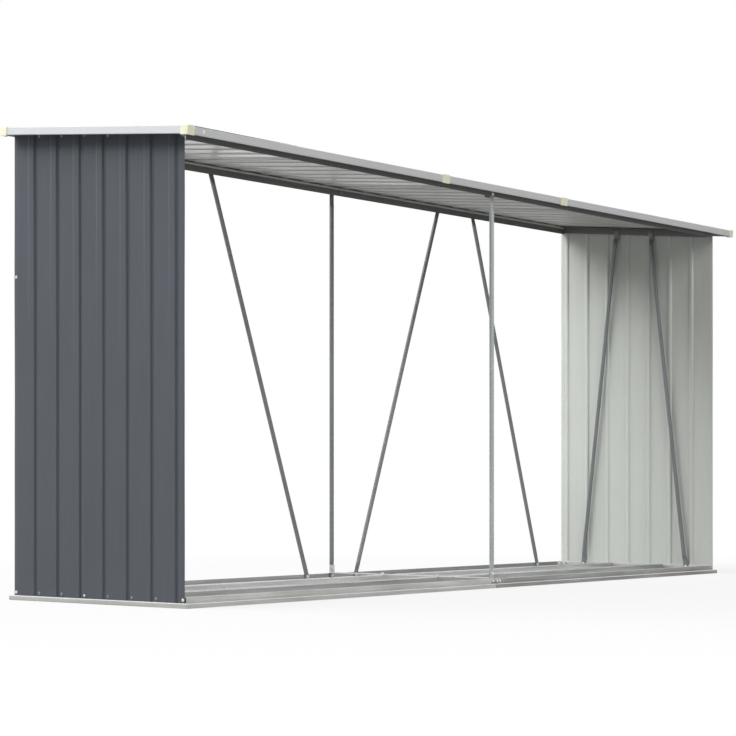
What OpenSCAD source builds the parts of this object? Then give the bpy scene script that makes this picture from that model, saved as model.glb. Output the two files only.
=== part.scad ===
// Log store: two ribbed end walls and a pent roof on a bolted steel frame,
// open at the front and at the back. Millimetres, +Z up, front towards -Y.
// The origin is on the ground, in the middle of the store's outline.

/* [Overall] */
// Length over the roof
store_l = 3300; // [2400:10:4200]
// Height at the back edge of the roof
store_h = 1520; // [1200:10:2200]
// Depth of the end walls, from front edge to back edge
wall_depth = 755; // [600:5:1200]

/* [Roof] */
// Drop of the roof from its back edge to its front edge
roof_fall = 82.5; // [40:0.5:160]
// Reach of the roof past the front of the end walls
front_overhang = 68.5; // [40:0.5:150]
// Reach of the roof past the back of the end walls
back_overhang = 5; // [5:0.5:60]
// Reach of the roof past the outside of each end wall
end_overhang = 56; // [30:1:150]
// Spacing of the roof ribs, rounded so that a whole number fits each sheet
roof_rib_pitch = 118; // [80:1:160]

/* [Folded sheets] */
// Depth of a folded sheet over its ribs
sheet_d = 7.5; // [5:0.5:12]
// Thickness of a folded sheet
sheet_t = 2; // [1:0.1:3]
// Width of a rib at the face of the sheet
rib_w = 20; // [14:1:40]
// Width of a rib at its floor
rib_floor_w = 10; // [4:1:12]
// Spacing of the wall ribs
wall_rib_pitch = 104; // [60:1:160]
// Distance of the first wall rib from the edge of the wall
wall_rib_start = 30.5; // [20:0.5:60]

/* [Base] */
// Width of the ledge around the base, which the end walls stand on
base_lip = 16.5; // [12:0.5:30]
// Height of the ledge
lip_h = 16; // [8:1:22]
// Height of the rails and the floor bars
rail_h = 34; // [28:1:60]
// Thickness of the rails and the top frame
frame_t = 2; // [1:0.1:3]
// Distance between the middles of the two floor bars
floor_bar_gap = 252; // [120:1:400]
// Width of a floor bar
floor_bar_w = 30; // [16:1:60]
// Width of the bar across the floor
cross_w = 24; // [14:1:50]
// Thickness of the bar across the floor
cross_t = 4; // [2:0.5:8]
// Height of the turned-up ends of the bar across the floor
cross_tab_h = 30; // [15:1:32]

/* [Top frame] */
// Height of the top beams and rails
beam_h = 25; // [24:1:50]
// Width of the flange on the top beams and rails
beam_flange = 20; // [12:1:40]
// Height of the inner leg of the back beams, which covers the tops of the tubes
back_leg_h = 30; // [20:1:36]

/* [Posts and braces] */
// Diameter of the two posts
post_d = 17; // [12:0.5:30]
// Diameter of the braces
brace_d = 16; // [8:0.5:18]
// Thickness of the flattened tube ends
flat_t = 3; // [2:0.5:5]
// Length of the flattened ends of the posts
post_flat_l = 50; // [49:1:90]
// Length of the flattened ends of the braces
brace_flat_l = 34; // [24:1:60]
// Length over which a flattened end becomes round
taper_l = 26; // [10:1:50]
// Length by which a flattened upper end laps its beam
flat_lap = 17; // [12:1:18]
// Clearance of a flattened foot over the level of the ledge
foot_gap = 1; // [0.5:0.5:5]
// Distance from the middle of a bay to the top of each of its back braces
brace_top = 115; // [60:1:250]
// Distance from the middle of the store to the foot of the back brace next to the posts
brace_foot_post = 142; // [60:1:300]
// Distance from the frame of an end wall to the foot of the back brace next to it
brace_foot_wall = 185; // [60:1:300]
// Distance from the middle of an end wall to the top of each of its braces
wall_brace_top = 83; // [40:1:140]
// Distance from the middle of an end wall to the foot of each of its braces
wall_brace_foot = 257; // [180:1:280]

/* [Trims and caps] */
// Height of the roof trims
trim_h = 25; // [20:0.5:40]
// Width of the trims' top flange
trim_flange = 14; // [8:1:30]
// Thickness of the trims
trim_t = 1.5; // [1:0.1:2.5]
// Distance of the joints in the long trims from the middle of the store
trim_joint = 368; // [200:1:700]
// Thickness of the plastic caps
cap_t = 2.5; // [1:0.1:2.5]
// Height of the plastic caps
cap_h = 30; // [24:0.5:45]
// Length of a corner cap along each edge
corner_cap_l = 30; // [20:1:80]
// Length of a cap over a trim joint
joint_cap_l = 43; // [20:1:80]

/* [Hidden] */
$fn = 48;

// Finishes
galvanised = "#b3b6b6";
anthracite = "#43474c";
trim_grey = "#d5d8d9";
cream = "#eeebc8";

// Planes of the frame, measured from the middle of the end walls' depth
wall_x = store_l / 2 - end_overhang;
wall_y = wall_depth / 2;
frame_x = wall_x - sheet_d;
inner_x = frame_x - frame_t;
inner_y = wall_y - frame_t;
base_x = frame_x + base_lip;
base_y = wall_y + base_lip;
rail_w = base_lip + frame_t;
bay_middle = wall_x / 2;

// Slope and layers of the roof
roof_run = wall_depth + front_overhang + back_overhang;
roof_a = atan(roof_fall / roof_run);
roof_len = roof_run / cos(roof_a);
roof_back = wall_y + back_overhang;
sheet_top = cap_t + trim_t;
sheet_bottom = sheet_top + sheet_d;
roof_sheet_count = 4;
roof_half = store_l / 2 - sheet_top;
roof_sheet_w = 2 * roof_half / roof_sheet_count;
roof_rib_n = round(roof_sheet_w / roof_rib_pitch);
trim_end = store_l / 2 - cap_t;

// Ribs of an end wall, and the rib in which its two sheets meet
rib_fall = sheet_d - sheet_t;
edge_strip = 5;
wall_rib_n = 1 + floor((wall_depth - wall_rib_start - rib_w / 2 - edge_strip) / wall_rib_pitch);
wall_ribs = [for (i = [0 : wall_rib_n - 1]) wall_rib_start - wall_y + i * wall_rib_pitch];
wide_sheet_share = 0.6;
wall_lap = wall_ribs[ceil(wide_sheet_share * wall_rib_n) - 1];

// A flattened tube end is wider than the tube by this factor
flat_ratio = 1.4;
// Slice that two joined solids share, and sides of a tapered end
bite = 0.5;
taper_sides = 24;

// The outline runs from the front of the roof or base to the back of either one
front_reach = wall_y + max(front_overhang, base_lip);
back_reach = wall_y + max(back_overhang + cap_h * sin(roof_a), base_lip);
y_shift = (front_reach - back_reach) / 2;

// Height of the plane that lies a depth under the top of the roof
function roof_z(y, depth) = store_h - (roof_back - y) * tan(roof_a) - depth / cos(roof_a);

// Height of the lower edge of the top beams and rails
function beam_bottom(y) = roof_z(y, sheet_bottom) - beam_h;

// Depth of a folded sheet's face at a station across its ribs
function rib_depth(s, ribs) =
    let (from_rib = min([for (r = ribs) abs(s - r)]))
    from_rib >= rib_w / 2 ? 0
    : from_rib <= rib_floor_w / 2 ? rib_fall
    : rib_fall * (rib_w / 2 - from_rib) / (rib_w / 2 - rib_floor_w / 2);

// Stations of a folded sheet from one edge to the other, with the fold lines between
function stations(s0, s1, ribs) = concat(
    [s0],
    [for (r = ribs, fold = [-rib_w, -rib_floor_w, rib_floor_w, rib_w] / 2)
        if (r + fold > s0 && r + fold < s1) r + fold],
    [s1]
);

// Cross-section of a folded sheet: its face, then its other side
function sheet_outline(s0, s1, ribs) =
    let (all = stations(s0, s1, ribs), last = len(all) - 1)
    concat(
        [for (s = all) [s, -rib_depth(s, ribs)]],
        [for (i = [last : -1 : 0]) [all[i], -rib_depth(all[i], ribs) - sheet_t]]
    );

// Puts a piece in the store's own frame
module placed() {
    translate([0, y_shift, 0]) children();
}

// Puts a piece on the slope: y = 0 and z = 0 on the roof's top back edge
module on_roof() {
    placed() translate([0, roof_back, store_h]) rotate([roof_a, 0, 0]) children();
}

// Extrudes an outline of y and z along X
module along_x(x0, x1) {
    translate([x0, 0, 0]) rotate([90, 0, 90]) linear_extrude(x1 - x0) children();
}

// Rolled base rail along X, with its outer face on y = 0 and mitred outer ends
module rail_run(x0, x1, mitre0, mitre1) {
    intersection() {
        along_x(x0, x1) polygon([
            [0, 0], [rail_w, 0], [rail_w, frame_t], [frame_t, frame_t],
            [frame_t, lip_h - frame_t], [rail_w, lip_h - frame_t], [rail_w, rail_h],
            [base_lip, rail_h], [base_lip, lip_h], [0, lip_h]
        ]);
        linear_extrude(rail_h) polygon([
            [x0, 0], [x1, 0], [x1 - mitre1 * rail_w, rail_w], [x0 + mitre0 * rail_w, rail_w]
        ]);
    }
}

// Half of a long base rail, left of the middle joint
module long_rail_half() {
    translate([0, -base_y, 0]) rail_run(-base_x, 0, 1, 0);
}

module front_base_rail_left() {
    color(galvanised) placed() long_rail_half();
}

module front_base_rail_right() {
    color(galvanised) placed() mirror([1, 0, 0]) long_rail_half();
}

module back_base_rail_left() {
    color(galvanised) placed() mirror([0, 1, 0]) long_rail_half();
}

module back_base_rail_right() {
    color(galvanised) placed() rotate([0, 0, 180]) long_rail_half();
}

// Base rail under an end wall
module end_rail() {
    translate([-base_x, 0, 0]) rotate([0, 0, -90]) rail_run(-base_y, base_y, 1, 1);
}

module left_base_rail() {
    color(galvanised) placed() end_rail();
}

module right_base_rail() {
    color(galvanised) placed() mirror([1, 0, 0]) end_rail();
}

// Floor bar: an upturned channel from end rail to end rail
module floor_bar() {
    along_x(-inner_x, inner_x) difference() {
        translate([-floor_bar_w / 2, 0]) square([floor_bar_w, rail_h]);
        translate([frame_t - floor_bar_w / 2, -frame_t]) square([floor_bar_w - 2 * frame_t, rail_h]);
    }
}

module front_floor_bar() {
    color(galvanised) placed() translate([0, -floor_bar_gap / 2, 0]) floor_bar();
}

module rear_floor_bar() {
    color(galvanised) placed() translate([0, floor_bar_gap / 2, 0]) floor_bar();
}

// Flat bar over the floor bars, turned up against the front post and the back post
module floor_cross_bar() {
    end = inner_y - flat_t;
    tab = end - frame_t;
    level = rail_h + cross_t;
    top = rail_h + cross_tab_h;
    color(galvanised) placed() along_x(-cross_w / 2, cross_w / 2) polygon([
        [-end, rail_h], [end, rail_h], [end, top], [tab, top],
        [tab, level], [-tab, level], [-tab, top], [-end, top]
    ]);
}

// One sheet of an end wall, cut to the slope; turn is 0 on the left and 180 on the right
module wall_sheet(turn, s0, s1) {
    intersection() {
        rotate([0, 0, turn]) translate([0, 0, lip_h]) linear_extrude(store_h - lip_h)
            polygon([for (p = sheet_outline(s0, s1, wall_ribs)) [-wall_x - p[1], p[0]]]);
        along_x(-wall_x, wall_x) polygon([
            [-wall_y, lip_h], [wall_y, lip_h],
            [wall_y, roof_z(wall_y, sheet_bottom)], [-wall_y, roof_z(-wall_y, sheet_bottom)]
        ]);
    }
}

module left_wall_front_sheet() {
    color(anthracite) placed() wall_sheet(0, -wall_y, wall_lap);
}

module left_wall_back_sheet() {
    color(anthracite) placed() wall_sheet(0, wall_lap, wall_y);
}

module right_wall_front_sheet() {
    color(anthracite) placed() wall_sheet(180, wall_lap, wall_y);
}

module right_wall_back_sheet() {
    color(anthracite) placed() wall_sheet(180, -wall_y, wall_lap);
}

// Strip of the given height under the roof sheets, between two places in Y
module slope_strip(y0, y1, height) {
    polygon([
        [y0, roof_z(y0, sheet_bottom) - height], [y1, roof_z(y1, sheet_bottom) - height],
        [y1, roof_z(y1, sheet_bottom)], [y0, roof_z(y0, sheet_bottom)]
    ]);
}

// Half of a long top beam: an upright web with a flange under the roof sheets
module top_beam(x0, x1, web_y0, web_y1, flange_y0, flange_y1) {
    along_x(x0, x1) union() {
        slope_strip(web_y0, web_y1, beam_h);
        slope_strip(flange_y0, flange_y1, frame_t);
    }
}

module front_top_beam_left() {
    color(anthracite) placed() top_beam(-frame_x, 0, -wall_y, -inner_y, -wall_y, beam_flange - wall_y);
}

module front_top_beam_right() {
    color(anthracite) placed() top_beam(0, frame_x, -wall_y, -inner_y, -wall_y, beam_flange - wall_y);
}

// Half of the back beam: a channel open downwards, with the tops of the tubes between its two legs
module back_beam(x0, x1) {
    leg_y = wall_y - beam_flange;
    top_beam(x0, x1, inner_y, wall_y, leg_y, wall_y);
    along_x(x0, x1) slope_strip(leg_y, leg_y + frame_t, back_leg_h);
}

module back_top_beam_left() {
    color(anthracite) placed() back_beam(-frame_x, 0);
}

module back_top_beam_right() {
    color(anthracite) placed() back_beam(0, frame_x);
}

// Top rail of an end wall, between the front and back beams
module end_top_rail() {
    y1 = wall_y - beam_flange;
    along_x(inner_x, frame_x) slope_strip(-y1, y1, beam_h);
    along_x(frame_x - beam_flange, frame_x) slope_strip(-y1, y1, frame_t);
}

module left_top_rail() {
    color(anthracite) placed() mirror([1, 0, 0]) end_top_rail();
}

module right_top_rail() {
    color(anthracite) placed() end_top_rail();
}

// End of a tube, flattened on y = 0: a plate, then a taper up to the round tube
module flat_end(d, axis, flat_l) {
    flat_w = flat_ratio * d;
    translate([-flat_w / 2, 0, 0]) cube([flat_w, flat_t, flat_l]);
    hull() {
        translate([-flat_w / 2, 0, flat_l - bite]) cube([flat_w, flat_t, bite]);
        translate([0, axis, flat_l + taper_l]) cylinder(h = bite, d = d, $fn = taper_sides);
    }
}

// Tube along +Z with both ends flattened; axis is the distance of its middle from y = 0
module flat_tube(l, d, axis, flat_l) {
    round_z = flat_l + taper_l;
    translate([0, axis, round_z]) cylinder(h = l - 2 * round_z, d = d);
    flat_end(d, axis, flat_l);
    translate([0, 0, l]) mirror([0, 0, 1]) flat_end(d, axis, flat_l);
}

// Post bolted inside the rail and the beam; side is -1 at the front and 1 at the back
module post(side) {
    z0 = lip_h + foot_gap;
    z1 = beam_bottom(side * wall_y) + flat_lap;
    turn = 90 * (1 + side);
    color(galvanised) placed() translate([0, side * inner_y, z0]) rotate([0, 0, turn])
        flat_tube(z1 - z0, post_d, flat_t / 2, post_flat_l);
}

// Brace across the back, from a foot inside the rail to a top inside the beam
module back_brace(foot_x, top_x) {
    z0 = lip_h + foot_gap;
    z1 = beam_bottom(wall_y) + flat_lap;
    lean = atan2(top_x - foot_x, z1 - z0);
    color(galvanised) placed() translate([foot_x, inner_y, z0]) rotate([0, lean, 0]) mirror([0, 1, 0])
        flat_tube(norm([top_x - foot_x, z1 - z0]), brace_d, flat_t / 2, brace_flat_l);
}

// Back brace of a bay; bay and side are -1 on the left and 1 on the right
module bay_brace(bay, side) {
    by_post = brace_foot_post;
    by_wall = inner_x - brace_foot_wall;
    foot_x = bay * (by_post + by_wall) / 2 + side * (by_wall - by_post) / 2;
    back_brace(foot_x, bay * bay_middle + side * brace_top);
}

// Brace inside the right end wall, from a foot inside the rail to a top inside the top rail
module wall_brace(foot_y, top_y) {
    z0 = lip_h + foot_gap;
    z1 = beam_bottom(top_y) + flat_lap;
    lean = atan2(top_y - foot_y, z1 - z0);
    translate([inner_x, foot_y, z0]) rotate([-lean, 0, 0]) rotate([0, 0, 90])
        flat_tube(norm([top_y - foot_y, z1 - z0]), brace_d, brace_d / 2, brace_flat_l);
}

module right_wall_brace(side) {
    color(galvanised) placed() wall_brace(side * wall_brace_foot, side * wall_brace_top);
}

module left_wall_brace(side) {
    color(galvanised) placed() mirror([1, 0, 0])
        wall_brace(side * wall_brace_foot, side * wall_brace_top);
}

// Roof sheet, counted from the left, with its ribs running down the slope
module roof_sheet(i) {
    x0 = i * roof_sheet_w - roof_half;
    pitch = roof_sheet_w / roof_rib_n;
    ribs = [for (k = [0 : roof_rib_n - 1]) x0 + (k + 0.5) * pitch];
    color(anthracite) on_roof() translate([0, -sheet_top, -sheet_top]) rotate([90, 0, 0])
        linear_extrude(roof_len - 2 * sheet_top) polygon(sheet_outline(x0, x0 + roof_sheet_w, ribs));
}

// Angle trim along X, with its outer face on y = 0 and its flange pointing to +Y
module trim_run(x0, x1) {
    along_x(x0, x1) polygon([
        [0, 0], [0, -trim_h], [trim_t, -trim_h], [trim_t, -trim_t], [trim_flange, -trim_t], [trim_flange, 0]
    ]);
}

module front_roof_trim(x0, x1) {
    color(trim_grey) on_roof() translate([0, cap_t - roof_len, -cap_t]) trim_run(x0, x1);
}

module back_roof_trim(x0, x1) {
    color(trim_grey) on_roof() translate([0, -cap_t, -cap_t]) mirror([0, 1, 0]) trim_run(x0, x1);
}

// Trim over an end wall, between the flanges of the front and back trims
module end_trim() {
    y0 = cap_t + trim_flange - roof_len;
    y1 = -cap_t - trim_flange;
    translate([-trim_end, 0, -cap_t]) rotate([0, 0, -90]) trim_run(-y1, -y0);
}

module left_roof_trim() {
    color(trim_grey) on_roof() end_trim();
}

module right_roof_trim() {
    color(trim_grey) on_roof() mirror([1, 0, 0]) end_trim();
}

// Cap over the back right corner of the trims
module corner_cap() {
    translate([store_l / 2 - corner_cap_l, -corner_cap_l, -cap_h]) difference() {
        cube([corner_cap_l, corner_cap_l, cap_h]);
        translate([-cap_t, -cap_t, -cap_t]) cube([corner_cap_l, corner_cap_l, cap_h]);
    }
}

module corner_caps() {
    color(cream) on_roof() for (flip = [0, 1]) mirror([flip, 0, 0]) {
        corner_cap();
        translate([0, -roof_len, 0]) mirror([0, 1, 0]) corner_cap();
    }
}

// Cap over a joint in the back trim
module joint_cap() {
    depth = cap_t + trim_flange;
    translate([-joint_cap_l / 2, -depth, -cap_h]) difference() {
        cube([joint_cap_l, depth, cap_h]);
        translate([-cap_t, -cap_t, -cap_t]) cube([joint_cap_l + 2 * cap_t, depth, cap_h]);
    }
}

module joint_caps() {
    color(cream) on_roof() for (x = [-trim_joint, trim_joint]) translate([x, 0, 0]) {
        joint_cap();
        translate([0, -roof_len, 0]) mirror([0, 1, 0]) joint_cap();
    }
}

front_base_rail_left();
front_base_rail_right();
back_base_rail_left();
back_base_rail_right();
left_base_rail();
right_base_rail();
front_floor_bar();
rear_floor_bar();
floor_cross_bar();
left_wall_front_sheet();
left_wall_back_sheet();
right_wall_front_sheet();
right_wall_back_sheet();
front_top_beam_left();
front_top_beam_right();
back_top_beam_left();
back_top_beam_right();
left_top_rail();
right_top_rail();
post(-1);  // front_post
post(1);  // back_post
bay_brace(-1, -1);  // left_bay_left_brace
bay_brace(-1, 1);  // left_bay_right_brace
bay_brace(1, -1);  // right_bay_left_brace
bay_brace(1, 1);  // right_bay_right_brace
left_wall_brace(-1);  // left_wall_front_brace
left_wall_brace(1);  // left_wall_back_brace
right_wall_brace(-1);  // right_wall_front_brace
right_wall_brace(1);  // right_wall_back_brace
roof_sheet(0);  // roof_sheet_1
roof_sheet(1);  // roof_sheet_2
roof_sheet(2);  // roof_sheet_3
roof_sheet(3);  // roof_sheet_4
left_roof_trim();
right_roof_trim();
front_roof_trim(-trim_end, -trim_joint);  // front_roof_trim_left
front_roof_trim(-trim_joint, trim_joint);  // front_roof_trim_middle
front_roof_trim(trim_joint, trim_end);  // front_roof_trim_right
back_roof_trim(-trim_end, -trim_joint);  // back_roof_trim_left
back_roof_trim(-trim_joint, trim_joint);  // back_roof_trim_middle
back_roof_trim(trim_joint, trim_end);  // back_roof_trim_right
corner_caps();
joint_caps();
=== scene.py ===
"""Looks of the log store: folded sheets, rolled rails, tubes with flattened ends, trims, caps and
fixings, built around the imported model. Shapes are worked out in millimetres in the model's frame."""

import math

import bmesh
import bpy
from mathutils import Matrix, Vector

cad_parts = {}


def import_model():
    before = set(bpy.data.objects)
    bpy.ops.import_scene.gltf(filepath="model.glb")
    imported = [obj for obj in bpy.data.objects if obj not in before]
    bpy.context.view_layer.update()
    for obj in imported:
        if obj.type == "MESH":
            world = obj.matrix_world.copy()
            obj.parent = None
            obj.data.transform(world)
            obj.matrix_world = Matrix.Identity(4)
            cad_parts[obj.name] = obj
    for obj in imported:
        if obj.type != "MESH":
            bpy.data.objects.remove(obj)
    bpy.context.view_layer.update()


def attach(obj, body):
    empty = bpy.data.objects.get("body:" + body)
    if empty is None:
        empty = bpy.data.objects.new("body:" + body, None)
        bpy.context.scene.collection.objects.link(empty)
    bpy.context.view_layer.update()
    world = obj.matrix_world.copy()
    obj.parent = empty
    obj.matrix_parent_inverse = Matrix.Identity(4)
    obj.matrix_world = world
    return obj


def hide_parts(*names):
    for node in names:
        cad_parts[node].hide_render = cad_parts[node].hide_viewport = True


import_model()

MM = 0.001
BODY = "root"

# Sizes in millimetres, as in the part's source
STORE_L = 3300
STORE_H = 1520
WALL_DEPTH = 755
ROOF_FALL = 82.5
FRONT_OVERHANG = 68.5
BACK_OVERHANG = 5
END_OVERHANG = 56
SHEET_D = 7.5
RIB_W = 20
RIB_FLOOR_W = 10
RIB_FALL = 5.5
WALL_RIB_PITCH = 104
WALL_RIB_START = 30.5
WALL_RIB_N = 7
LAP_RIB = 4
ROOF_SHEET_N = 4
ROOF_RIB_N = 7
BASE_LIP = 16.5
LIP_H = 16
RAIL_H = 34
FRAME_T = 2
FLOOR_BAR_GAP = 252
FLOOR_BAR_W = 30
CROSS_W = 24
CROSS_TAB_H = 30
BEAM_H = 25
BEAM_FLANGE = 20
BACK_LEG_H = 30
POST_D = 17
BRACE_D = 16
FLAT_T = 3
FLAT_RATIO = 1.4
POST_FLAT_L = 50
BRACE_FLAT_L = 34
TAPER_L = 26
FLAT_LAP = 17
FOOT_GAP = 1
BRACE_TOP = 115
BRACE_FOOT_POST = 142
BRACE_FOOT_WALL = 185
WALL_BRACE_TOP = 83
WALL_BRACE_FOOT = 257
TRIM_H = 25
TRIM_FLANGE = 14
TRIM_T = 1.5
TRIM_JOINT = 368
CAP_T = 2.5
CAP_H = 30
CORNER_CAP_L = 30
JOINT_CAP_L = 43

# Planes that follow from them; Y_SHIFT leads from the middle of the walls to the middle of the outline
Y_SHIFT = 26
WALL_X = STORE_L / 2 - END_OVERHANG
WALL_Y = WALL_DEPTH / 2
FRAME_X = WALL_X - SHEET_D
INNER_X = FRAME_X - FRAME_T
INNER_Y = WALL_Y - FRAME_T
BASE_X = FRAME_X + BASE_LIP
BASE_Y = WALL_Y + BASE_LIP
RAIL_W = BASE_LIP + FRAME_T
BAY_MIDDLE = WALL_X / 2
ROOF_RUN = WALL_DEPTH + FRONT_OVERHANG + BACK_OVERHANG
ROOF_A = math.atan(ROOF_FALL / ROOF_RUN)
ROOF_LEN = ROOF_RUN / math.cos(ROOF_A)
ROOF_BACK = WALL_Y + BACK_OVERHANG
SHEET_TOP = CAP_T + TRIM_T
SHEET_BOTTOM = SHEET_TOP + SHEET_D
TRIM_END = STORE_L / 2 - CAP_T

# Finer shapes that only the looks have: sheets, with a hold beside each fold that keeps the flats flat
SKIN_T = 1.2
FOLD_R = 2.5
BEND_R = 1.8
HOLD = 0.6
REFINE_STEP = 16
ROOF_RIB_FALL = 3.5
LAP_W = 8
LAP_REACH = 4
SHARP_A = math.radians(40)

# Creases of the left wall: place after a rib as a share of the pitch, and share of the wall where they start
CREASE_H = 2.4
CREASE_W = 8
CREASE_SHARE = 0.29
CREASE_FOOT = 0.4

# Hollows of the pans: height, how fast they end at the edges, and waves of height, pace along and pace across
PAN_BULGE = 0.5
PAN_END = 8
PAN_WAVES = [(1, 7.3, 0.031), (0.6, 17.1, -0.017)]

# Rails, beams and the bar across the floor
JOINT_GAP = 0.4
# Width of the painted highlights along the folds of the base rails and floor bars
HIGHLIGHT_EDGE = 2.4
CROSS_SKIN = 3
CROSS_BEND_R = 3
# Painted highlight on the back beam's inner leg: how far down from the roof it reaches, and how much is kept
# off its lower end
PALE_FOLD = 8
PALE_MARGIN = 0.5

# Pressed tube ends: the powers shape their sections, from a flat bar to a round tube
TUBE_SIDES = 24
TIP_L = 6
TIP_STOPS = [0, 0.8, 2, 4, TIP_L]
TIP_W = 0.55
TIP_ROUND = 0.05
FLAT_STOP = 0.7
TAPER_STEPS = 8
TAPER_AFTER = 4
FLAT_POWER = 5
ROUND_POWER = 2

# Trims and caps
TRIM_HEM = 5
TRIM_BEND_R = 1.6
CAP_EDGE_R = 4

# Fixings: outlines of radius and height, and their places
WASHER = [(6.5, 0), (6.5, 1.0), (6.1, 1.3)]
HEX_HEAD = [(5.7, 1.3), (5.7, 4.4), (5.0, 5.2)]
SCREW_HEAD = [(5.4, 0), (5.4, 0.7), (4.0, 1.1), (3.8, 2.1), (3.0, 3.1), (1.7, 3.5), (1.4, 2.5)]
SCREW_FROM_RIB = 16
FIRST_EDGE_SCREW = 6
LAST_EDGE_SCREW = 8
EDGE_SCREW_Z = 1040
RAIL_MIDDLE = (LIP_H + RAIL_H) / 2
TAB_BOLT_SHARE = 0.6
PLATE_LEG = 28
PLATE_LIFT = 2
PLATE_H = 14
PLATE_BOLT = 17
RAIL_BOLTS_X = (24, 41)
BEAM_BOLT_X = 36
LUG_X = -42
LUG_W = 27
LUG_DROP = 7
LUG_LAP = 12
TRIM_SCREW_X = 1578
BEAD_R = 1
BEAD_L = 500
BEAD_HIDDEN = 2
BEAD_START = CORNER_CAP_L - STORE_L / 2 - BEAD_HIDDEN
BEAD_IN = 1.6
BEAD_UP = 0.6
BEAD_SHARES = (0, 0.2, 0.4, 0.6, 0.8, 0.95)

# How finely shapes are divided, the share of a stretch that an arc may take, and limits on slight bends
ARC_STEPS = 3
ARC_SHARE = 0.48
STRAIGHT_A = 0.01
LEAN_MIN = 0.5
WALL_SPANS = 24
ROOF_SPANS = 14
LONG_SPANS = 12
END_SPANS = 6
BEAM_SPANS = 8
TOP_RAIL_SPANS = 2
LONG_TRIM_SPANS = 6
END_TRIM_SPANS = 4
WASHER_SIDES = 20
HEX_SIDES = 6
SCREW_SIDES = 16
BEAD_SIDES = 10

# Stage, in metres: where the lamps point and half the width of the floor; strength of the world's light
STORE_MIDDLE = (0, 0, 0.7)
FLOOR_HALF = 60
WORLD_LIGHT = 0.18


def roof_z(y, depth):
    """Height of the plane that lies a depth under the top of the roof."""
    return STORE_H - (ROOF_BACK - y) * math.tan(ROOF_A) - depth / math.cos(ROOF_A)


def beam_bottom(y):
    """Height of the lower edge of the top beams and rails."""
    return roof_z(y, SHEET_BOTTOM) - BEAM_H


def on_roof(x, y, z):
    """Point of the slope's own frame, whose y = 0 and z = 0 are the roof's top back edge."""
    cos_a = math.cos(ROOF_A)
    sin_a = math.sin(ROOF_A)
    return Vector((x, ROOF_BACK + y * cos_a - z * sin_a, STORE_H + y * sin_a + z * cos_a))


def smooth(share):
    """Soft step from 0 to 1."""
    share = min(1, max(0, share))
    return share * share * (3 - 2 * share)


def srgb(red, green, blue):
    """Linear colour of three screen values from 0 to 255."""
    def linear(value):
        share = value / 255
        return share / 12.92 if share <= 0.04045 else ((share + 0.055) / 1.055) ** 2.4
    return (linear(red), linear(green), linear(blue), 1.0)


# Materials

def add_node(tree, kind, **values):
    """New shader node; a value is set on the input of that name, with _ for a space, or on the node."""
    made = tree.nodes.new(kind)
    for key, value in values.items():
        label = key.replace("_", " ")
        if label in made.inputs:
            made.inputs[label].default_value = value
        else:
            setattr(made, key, value)
    return made


# Stretch of a noise: none, or streaks along a sheet's rolling direction
EVEN = (1, 1, 1)
UPRIGHT = (9, 9, 0.5)
ALONG_X = (0.5, 12, 12)
ALONG_Y = (12, 0.5, 12)


def object_noise(tree, stretch, scale, detail=3.0, kind="ShaderNodeTexNoise"):
    """Noise in the model's frame, in metres, stretched along the axes."""
    place = add_node(tree, "ShaderNodeTexCoord")
    mapping = add_node(tree, "ShaderNodeMapping", Scale=stretch)
    noise = add_node(tree, kind, Scale=scale)
    if "Detail" in noise.inputs:
        noise.inputs["Detail"].default_value = detail
    tree.links.new(place.outputs["Object"], mapping.inputs["Vector"])
    tree.links.new(mapping.outputs["Vector"], noise.inputs["Vector"])
    return noise


def ranged(tree, socket, low, high):
    """The socket's values from 0.3 to 0.7 spread over low to high."""
    spread = add_node(tree, "ShaderNodeMapRange", From_Min=0.3, From_Max=0.7, To_Min=low, To_Max=high)
    tree.links.new(socket, spread.inputs["Value"])
    return spread.outputs["Result"]


# Places of a colour mix's two colours among its inputs, and of its result among its outputs
MIX_A = 6
MIX_B = 7
MIX_RESULT = 2


def tinted(tree, colour, *factors):
    """The colour times each of the factor sockets."""
    current = None
    for factor in factors:
        mix = add_node(tree, "ShaderNodeMix", data_type="RGBA", blend_type="MULTIPLY")
        mix.inputs["Factor"].default_value = 1.0
        if current is None:
            mix.inputs[MIX_A].default_value = colour
        else:
            tree.links.new(current, mix.inputs[MIX_A])
        tree.links.new(factor, mix.inputs[MIX_B])
        current = mix.outputs[MIX_RESULT]
    return current


def bump(tree, socket, strength, distance):
    """Normal socket of a bump whose height is the socket's."""
    made = add_node(tree, "ShaderNodeBump", Strength=strength, Distance=distance)
    tree.links.new(socket, made.inputs["Height"])
    return made.outputs["Normal"]


def surface(name):
    """New node material, with its tree and its principled shader."""
    made = bpy.data.materials.new(name)
    made.use_nodes = True
    tree = made.node_tree
    return made, tree, tree.nodes["Principled BSDF"]


def paint(name, colour, stretch, roughness, grain=0.05, specular=0.5):
    """Coil-coated sheet: faint streaks along the rolling direction, uneven gloss and a fine skin."""
    made, tree, shader = surface(name)
    streaks = object_noise(tree, stretch, scale=14.0, detail=4.0)
    clouds = object_noise(tree, EVEN, scale=3.0, detail=2.0)
    skin = object_noise(tree, EVEN, scale=900.0, detail=1.0)
    tone = ranged(tree, streaks.outputs["Fac"], 1 - grain, 1 + grain)
    cloud_tone = ranged(tree, clouds.outputs["Fac"], 1 - grain, 1 + grain)
    tree.links.new(tinted(tree, colour, tone, cloud_tone), shader.inputs["Base Color"])
    gloss = ranged(tree, clouds.outputs["Fac"], roughness - 0.05, roughness + 0.07)
    tree.links.new(gloss, shader.inputs["Roughness"])
    tree.links.new(bump(tree, skin.outputs["Fac"], 0.06, 0.0005), shader.inputs["Normal"])
    shader.inputs["Specular IOR Level"].default_value = specular
    return made


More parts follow.
